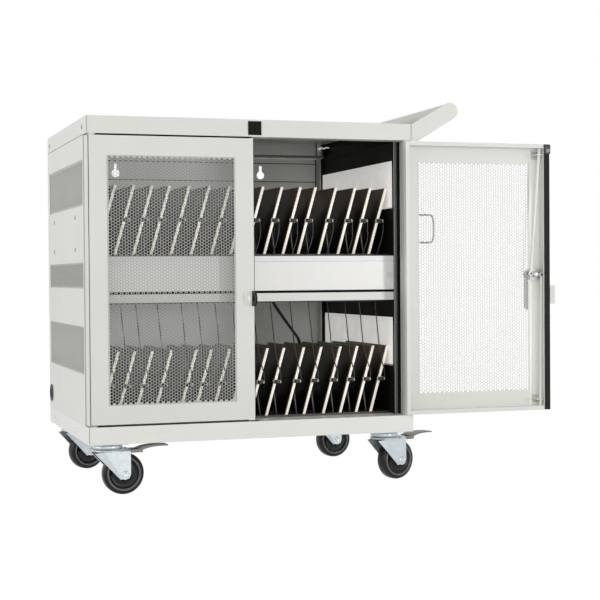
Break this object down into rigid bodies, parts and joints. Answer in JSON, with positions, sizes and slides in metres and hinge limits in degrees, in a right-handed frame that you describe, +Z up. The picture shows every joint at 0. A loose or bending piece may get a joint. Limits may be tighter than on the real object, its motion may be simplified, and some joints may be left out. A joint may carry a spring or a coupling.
{
  "type": "laptop charging cart",
  "caption": "Sheet-steel storage and charging cart with perforated double doors, slanted device slots in two tiers, a rod latch, a push handle and swivel casters.",
  "frame": {"origin": "on the floor under the middle of the cabinet's footprint", "axes": "+X to the handle end, +Y to the back, +Z up; the doors face -Y"},
  "size_m": [1.2173, 0.6363, 0.9425],
  "materials": {
    "paint": "light grey powder coat",
    "black_paint": "satin black powder coat",
    "grey_paint": "mid grey powder coat",
    "zinc": "bright zinc plate",
    "divider_plastic": "dark coated plate",
    "wheel_tread": "dark moulded tread",
    "seal_rubber": "black rubber",
    "black_plastic": "black moulded plastic"
  },
  "bodies": {
    "cabinet": {"base_tray": "paint", "top_cover": "paint", "left_side_panel": "paint", "left_side_mesh": "paint", "left_side_liner": "black_paint", "right_side_panel": "paint", "right_side_mesh": "paint", "right_side_liner": "black_paint", "back_panel": "grey_paint", "cable_grommet": "seal_rubber", "left_hinge_pin_upper": "zinc", "left_hinge_pin_lower": "zinc", "right_hinge_pin_upper": "zinc", "right_hinge_pin_lower": "zinc", "upper_shelf": "paint", "compartment_cover": "paint", "compartment_floor": "paint", "charging_hub_left": "black_plastic", "charging_hub_right": "black_plastic", "upper_rack_left": "divider_plastic", "upper_rack_right": "divider_plastic", "lower_rack_left": "divider_plastic", "lower_rack_right": "divider_plastic", "upper_leads": "black_plastic", "lower_leads": "black_plastic", "handle_front_cheek": "paint", "handle_rear_cheek": "paint", "handle_bar": "paint", "badge_plate": "black_plastic", "cord_hanger": "zinc", "caster_plate_front_left": "zinc", "caster_plate_front_right": "zinc", "caster_plate_rear_left": "zinc", "caster_plate_rear_right": "zinc"},
    "left_door": {"left_door": "paint", "left_door_mesh": "paint", "padlock_eye": "black_paint"},
    "right_door": {"right_door": "paint", "right_door_mesh": "paint", "door_seal": "seal_rubber", "door_hasp": "paint", "latch_housing": "zinc", "rod_guide_upper": "zinc", "rod_guide_lower": "zinc"},
    "latch": {"latch_lever": "zinc", "latch_cam": "zinc"},
    "upper_rod": {"latch_rod_upper": "zinc"},
    "lower_rod": {"latch_rod_lower": "zinc"},
    "cover_lock": {"cover_lock": "zinc"},
    "front_left_caster": {"caster_fork_front_left": "zinc"},
    "front_left_wheel": {"caster_wheel_front_left": "wheel_tread"},
    "front_left_pedal": {"brake_pedal_front_left": "zinc"},
    "front_right_caster": {"caster_fork_front_right": "zinc"},
    "front_right_wheel": {"caster_wheel_front_right": "wheel_tread"},
    "front_right_pedal": {"brake_pedal_front_right": "zinc"},
    "rear_left_caster": {"caster_fork_rear_left": "zinc"},
    "rear_left_wheel": {"caster_wheel_rear_left": "wheel_tread"},
    "rear_right_caster": {"caster_fork_rear_right": "zinc"},
    "rear_right_wheel": {"caster_wheel_rear_right": "wheel_tread"}
  },
  "joints": [
    {"name": "left_door_hinge", "type": "hinge", "parent": "cabinet", "child": "left_door", "pos_m": [-0.391, -0.293, 0.169], "axis": [0, 0, -1], "range_deg": [0, 180]},
    {"name": "right_door_hinge", "type": "hinge", "parent": "cabinet", "child": "right_door", "pos_m": [0.391, -0.293, 0.169], "axis": [0, 0, 1], "range_deg": [-180, 0]},
    {"name": "latch_turn", "type": "hinge", "parent": "right_door", "child": "latch", "pos_m": [0.74, -0.286, 0.513], "axis": [0, 1, 0], "range_deg": [0, 90]},
    {"name": "upper_rod_throw", "type": "hinge", "parent": "latch", "child": "upper_rod", "pos_m": [0.72506, -0.311, 0.51431], "axis": [0, 1, 0], "range_deg": [-93.2, 0]},
    {"name": "lower_rod_throw", "type": "hinge", "parent": "latch", "child": "lower_rod", "pos_m": [0.75494, -0.311, 0.51169], "axis": [0, 1, 0], "range_deg": [-93.2, 0]},
    {"name": "cover_lock_turn", "type": "hinge", "parent": "cabinet", "child": "cover_lock", "pos_m": [0.3594, -0.258, 0.5135], "axis": [0, -1, 0], "range_deg": [0, 90]},
    {"name": "front_left_swivel", "type": "hinge", "parent": "cabinet", "child": "front_left_caster", "pos_m": [-0.35, -0.24, 0.108], "axis": [0, 0, 1], "continuous": true},
    {"name": "front_left_wheel_spin", "type": "hinge", "parent": "front_left_caster", "child": "front_left_wheel", "pos_m": [-0.31409, -0.23749, 0.04969], "axis": [-0.0698, 0.9976, 0], "continuous": true},
    {"name": "front_left_brake", "type": "hinge", "parent": "front_left_caster", "child": "front_left_pedal", "pos_m": [-0.27618, -0.23484, 0.105], "axis": [-0.0698, 0.9976, 0], "range_deg": [0, 18]},
    {"name": "front_right_swivel", "type": "hinge", "parent": "cabinet", "child": "front_right_caster", "pos_m": [0.35, -0.24, 0.108], "axis": [0, 0, 1], "continuous": true},
    {"name": "front_right_wheel_spin", "type": "hinge", "parent": "front_right_caster", "child": "front_right_wheel", "pos_m": [0.38424, -0.22887, 0.04969], "axis": [-0.309, 0.9511, 0], "continuous": true},
    {"name": "front_right_brake", "type": "hinge", "parent": "front_right_caster", "child": "front_right_pedal", "pos_m": [0.42038, -0.21713, 0.105], "axis": [-0.309, 0.9511, 0], "range_deg": [0, 18]},
    {"name": "rear_left_swivel", "type": "hinge", "parent": "cabinet", "child": "rear_left_caster", "pos_m": [-0.35, 0.24, 0.108], "axis": [0, 0, 1], "continuous": true},
    {"name": "rear_left_wheel_spin", "type": "hinge", "parent": "rear_left_caster", "child": "rear_left_wheel", "pos_m": [-0.31576, 0.25112, 0.04969], "axis": [-0.309, 0.9511, 0], "continuous": true},
    {"name": "rear_right_swivel", "type": "hinge", "parent": "cabinet", "child": "rear_right_caster", "pos_m": [0.35, 0.24, 0.108], "axis": [0, 0, 1], "continuous": true},
    {"name": "rear_right_wheel_spin", "type": "hinge", "parent": "rear_right_caster", "child": "rear_right_wheel", "pos_m": [0.38545, 0.24625, 0.04969], "axis": [-0.1736, 0.9848, 0], "continuous": true}
  ],
  "couplings": [
    {"joint": "upper_rod_throw", "follows": "latch_turn", "ratio": -1.0316},
    {"joint": "lower_rod_throw", "follows": "latch_turn", "ratio": -1.0302}
  ]
}
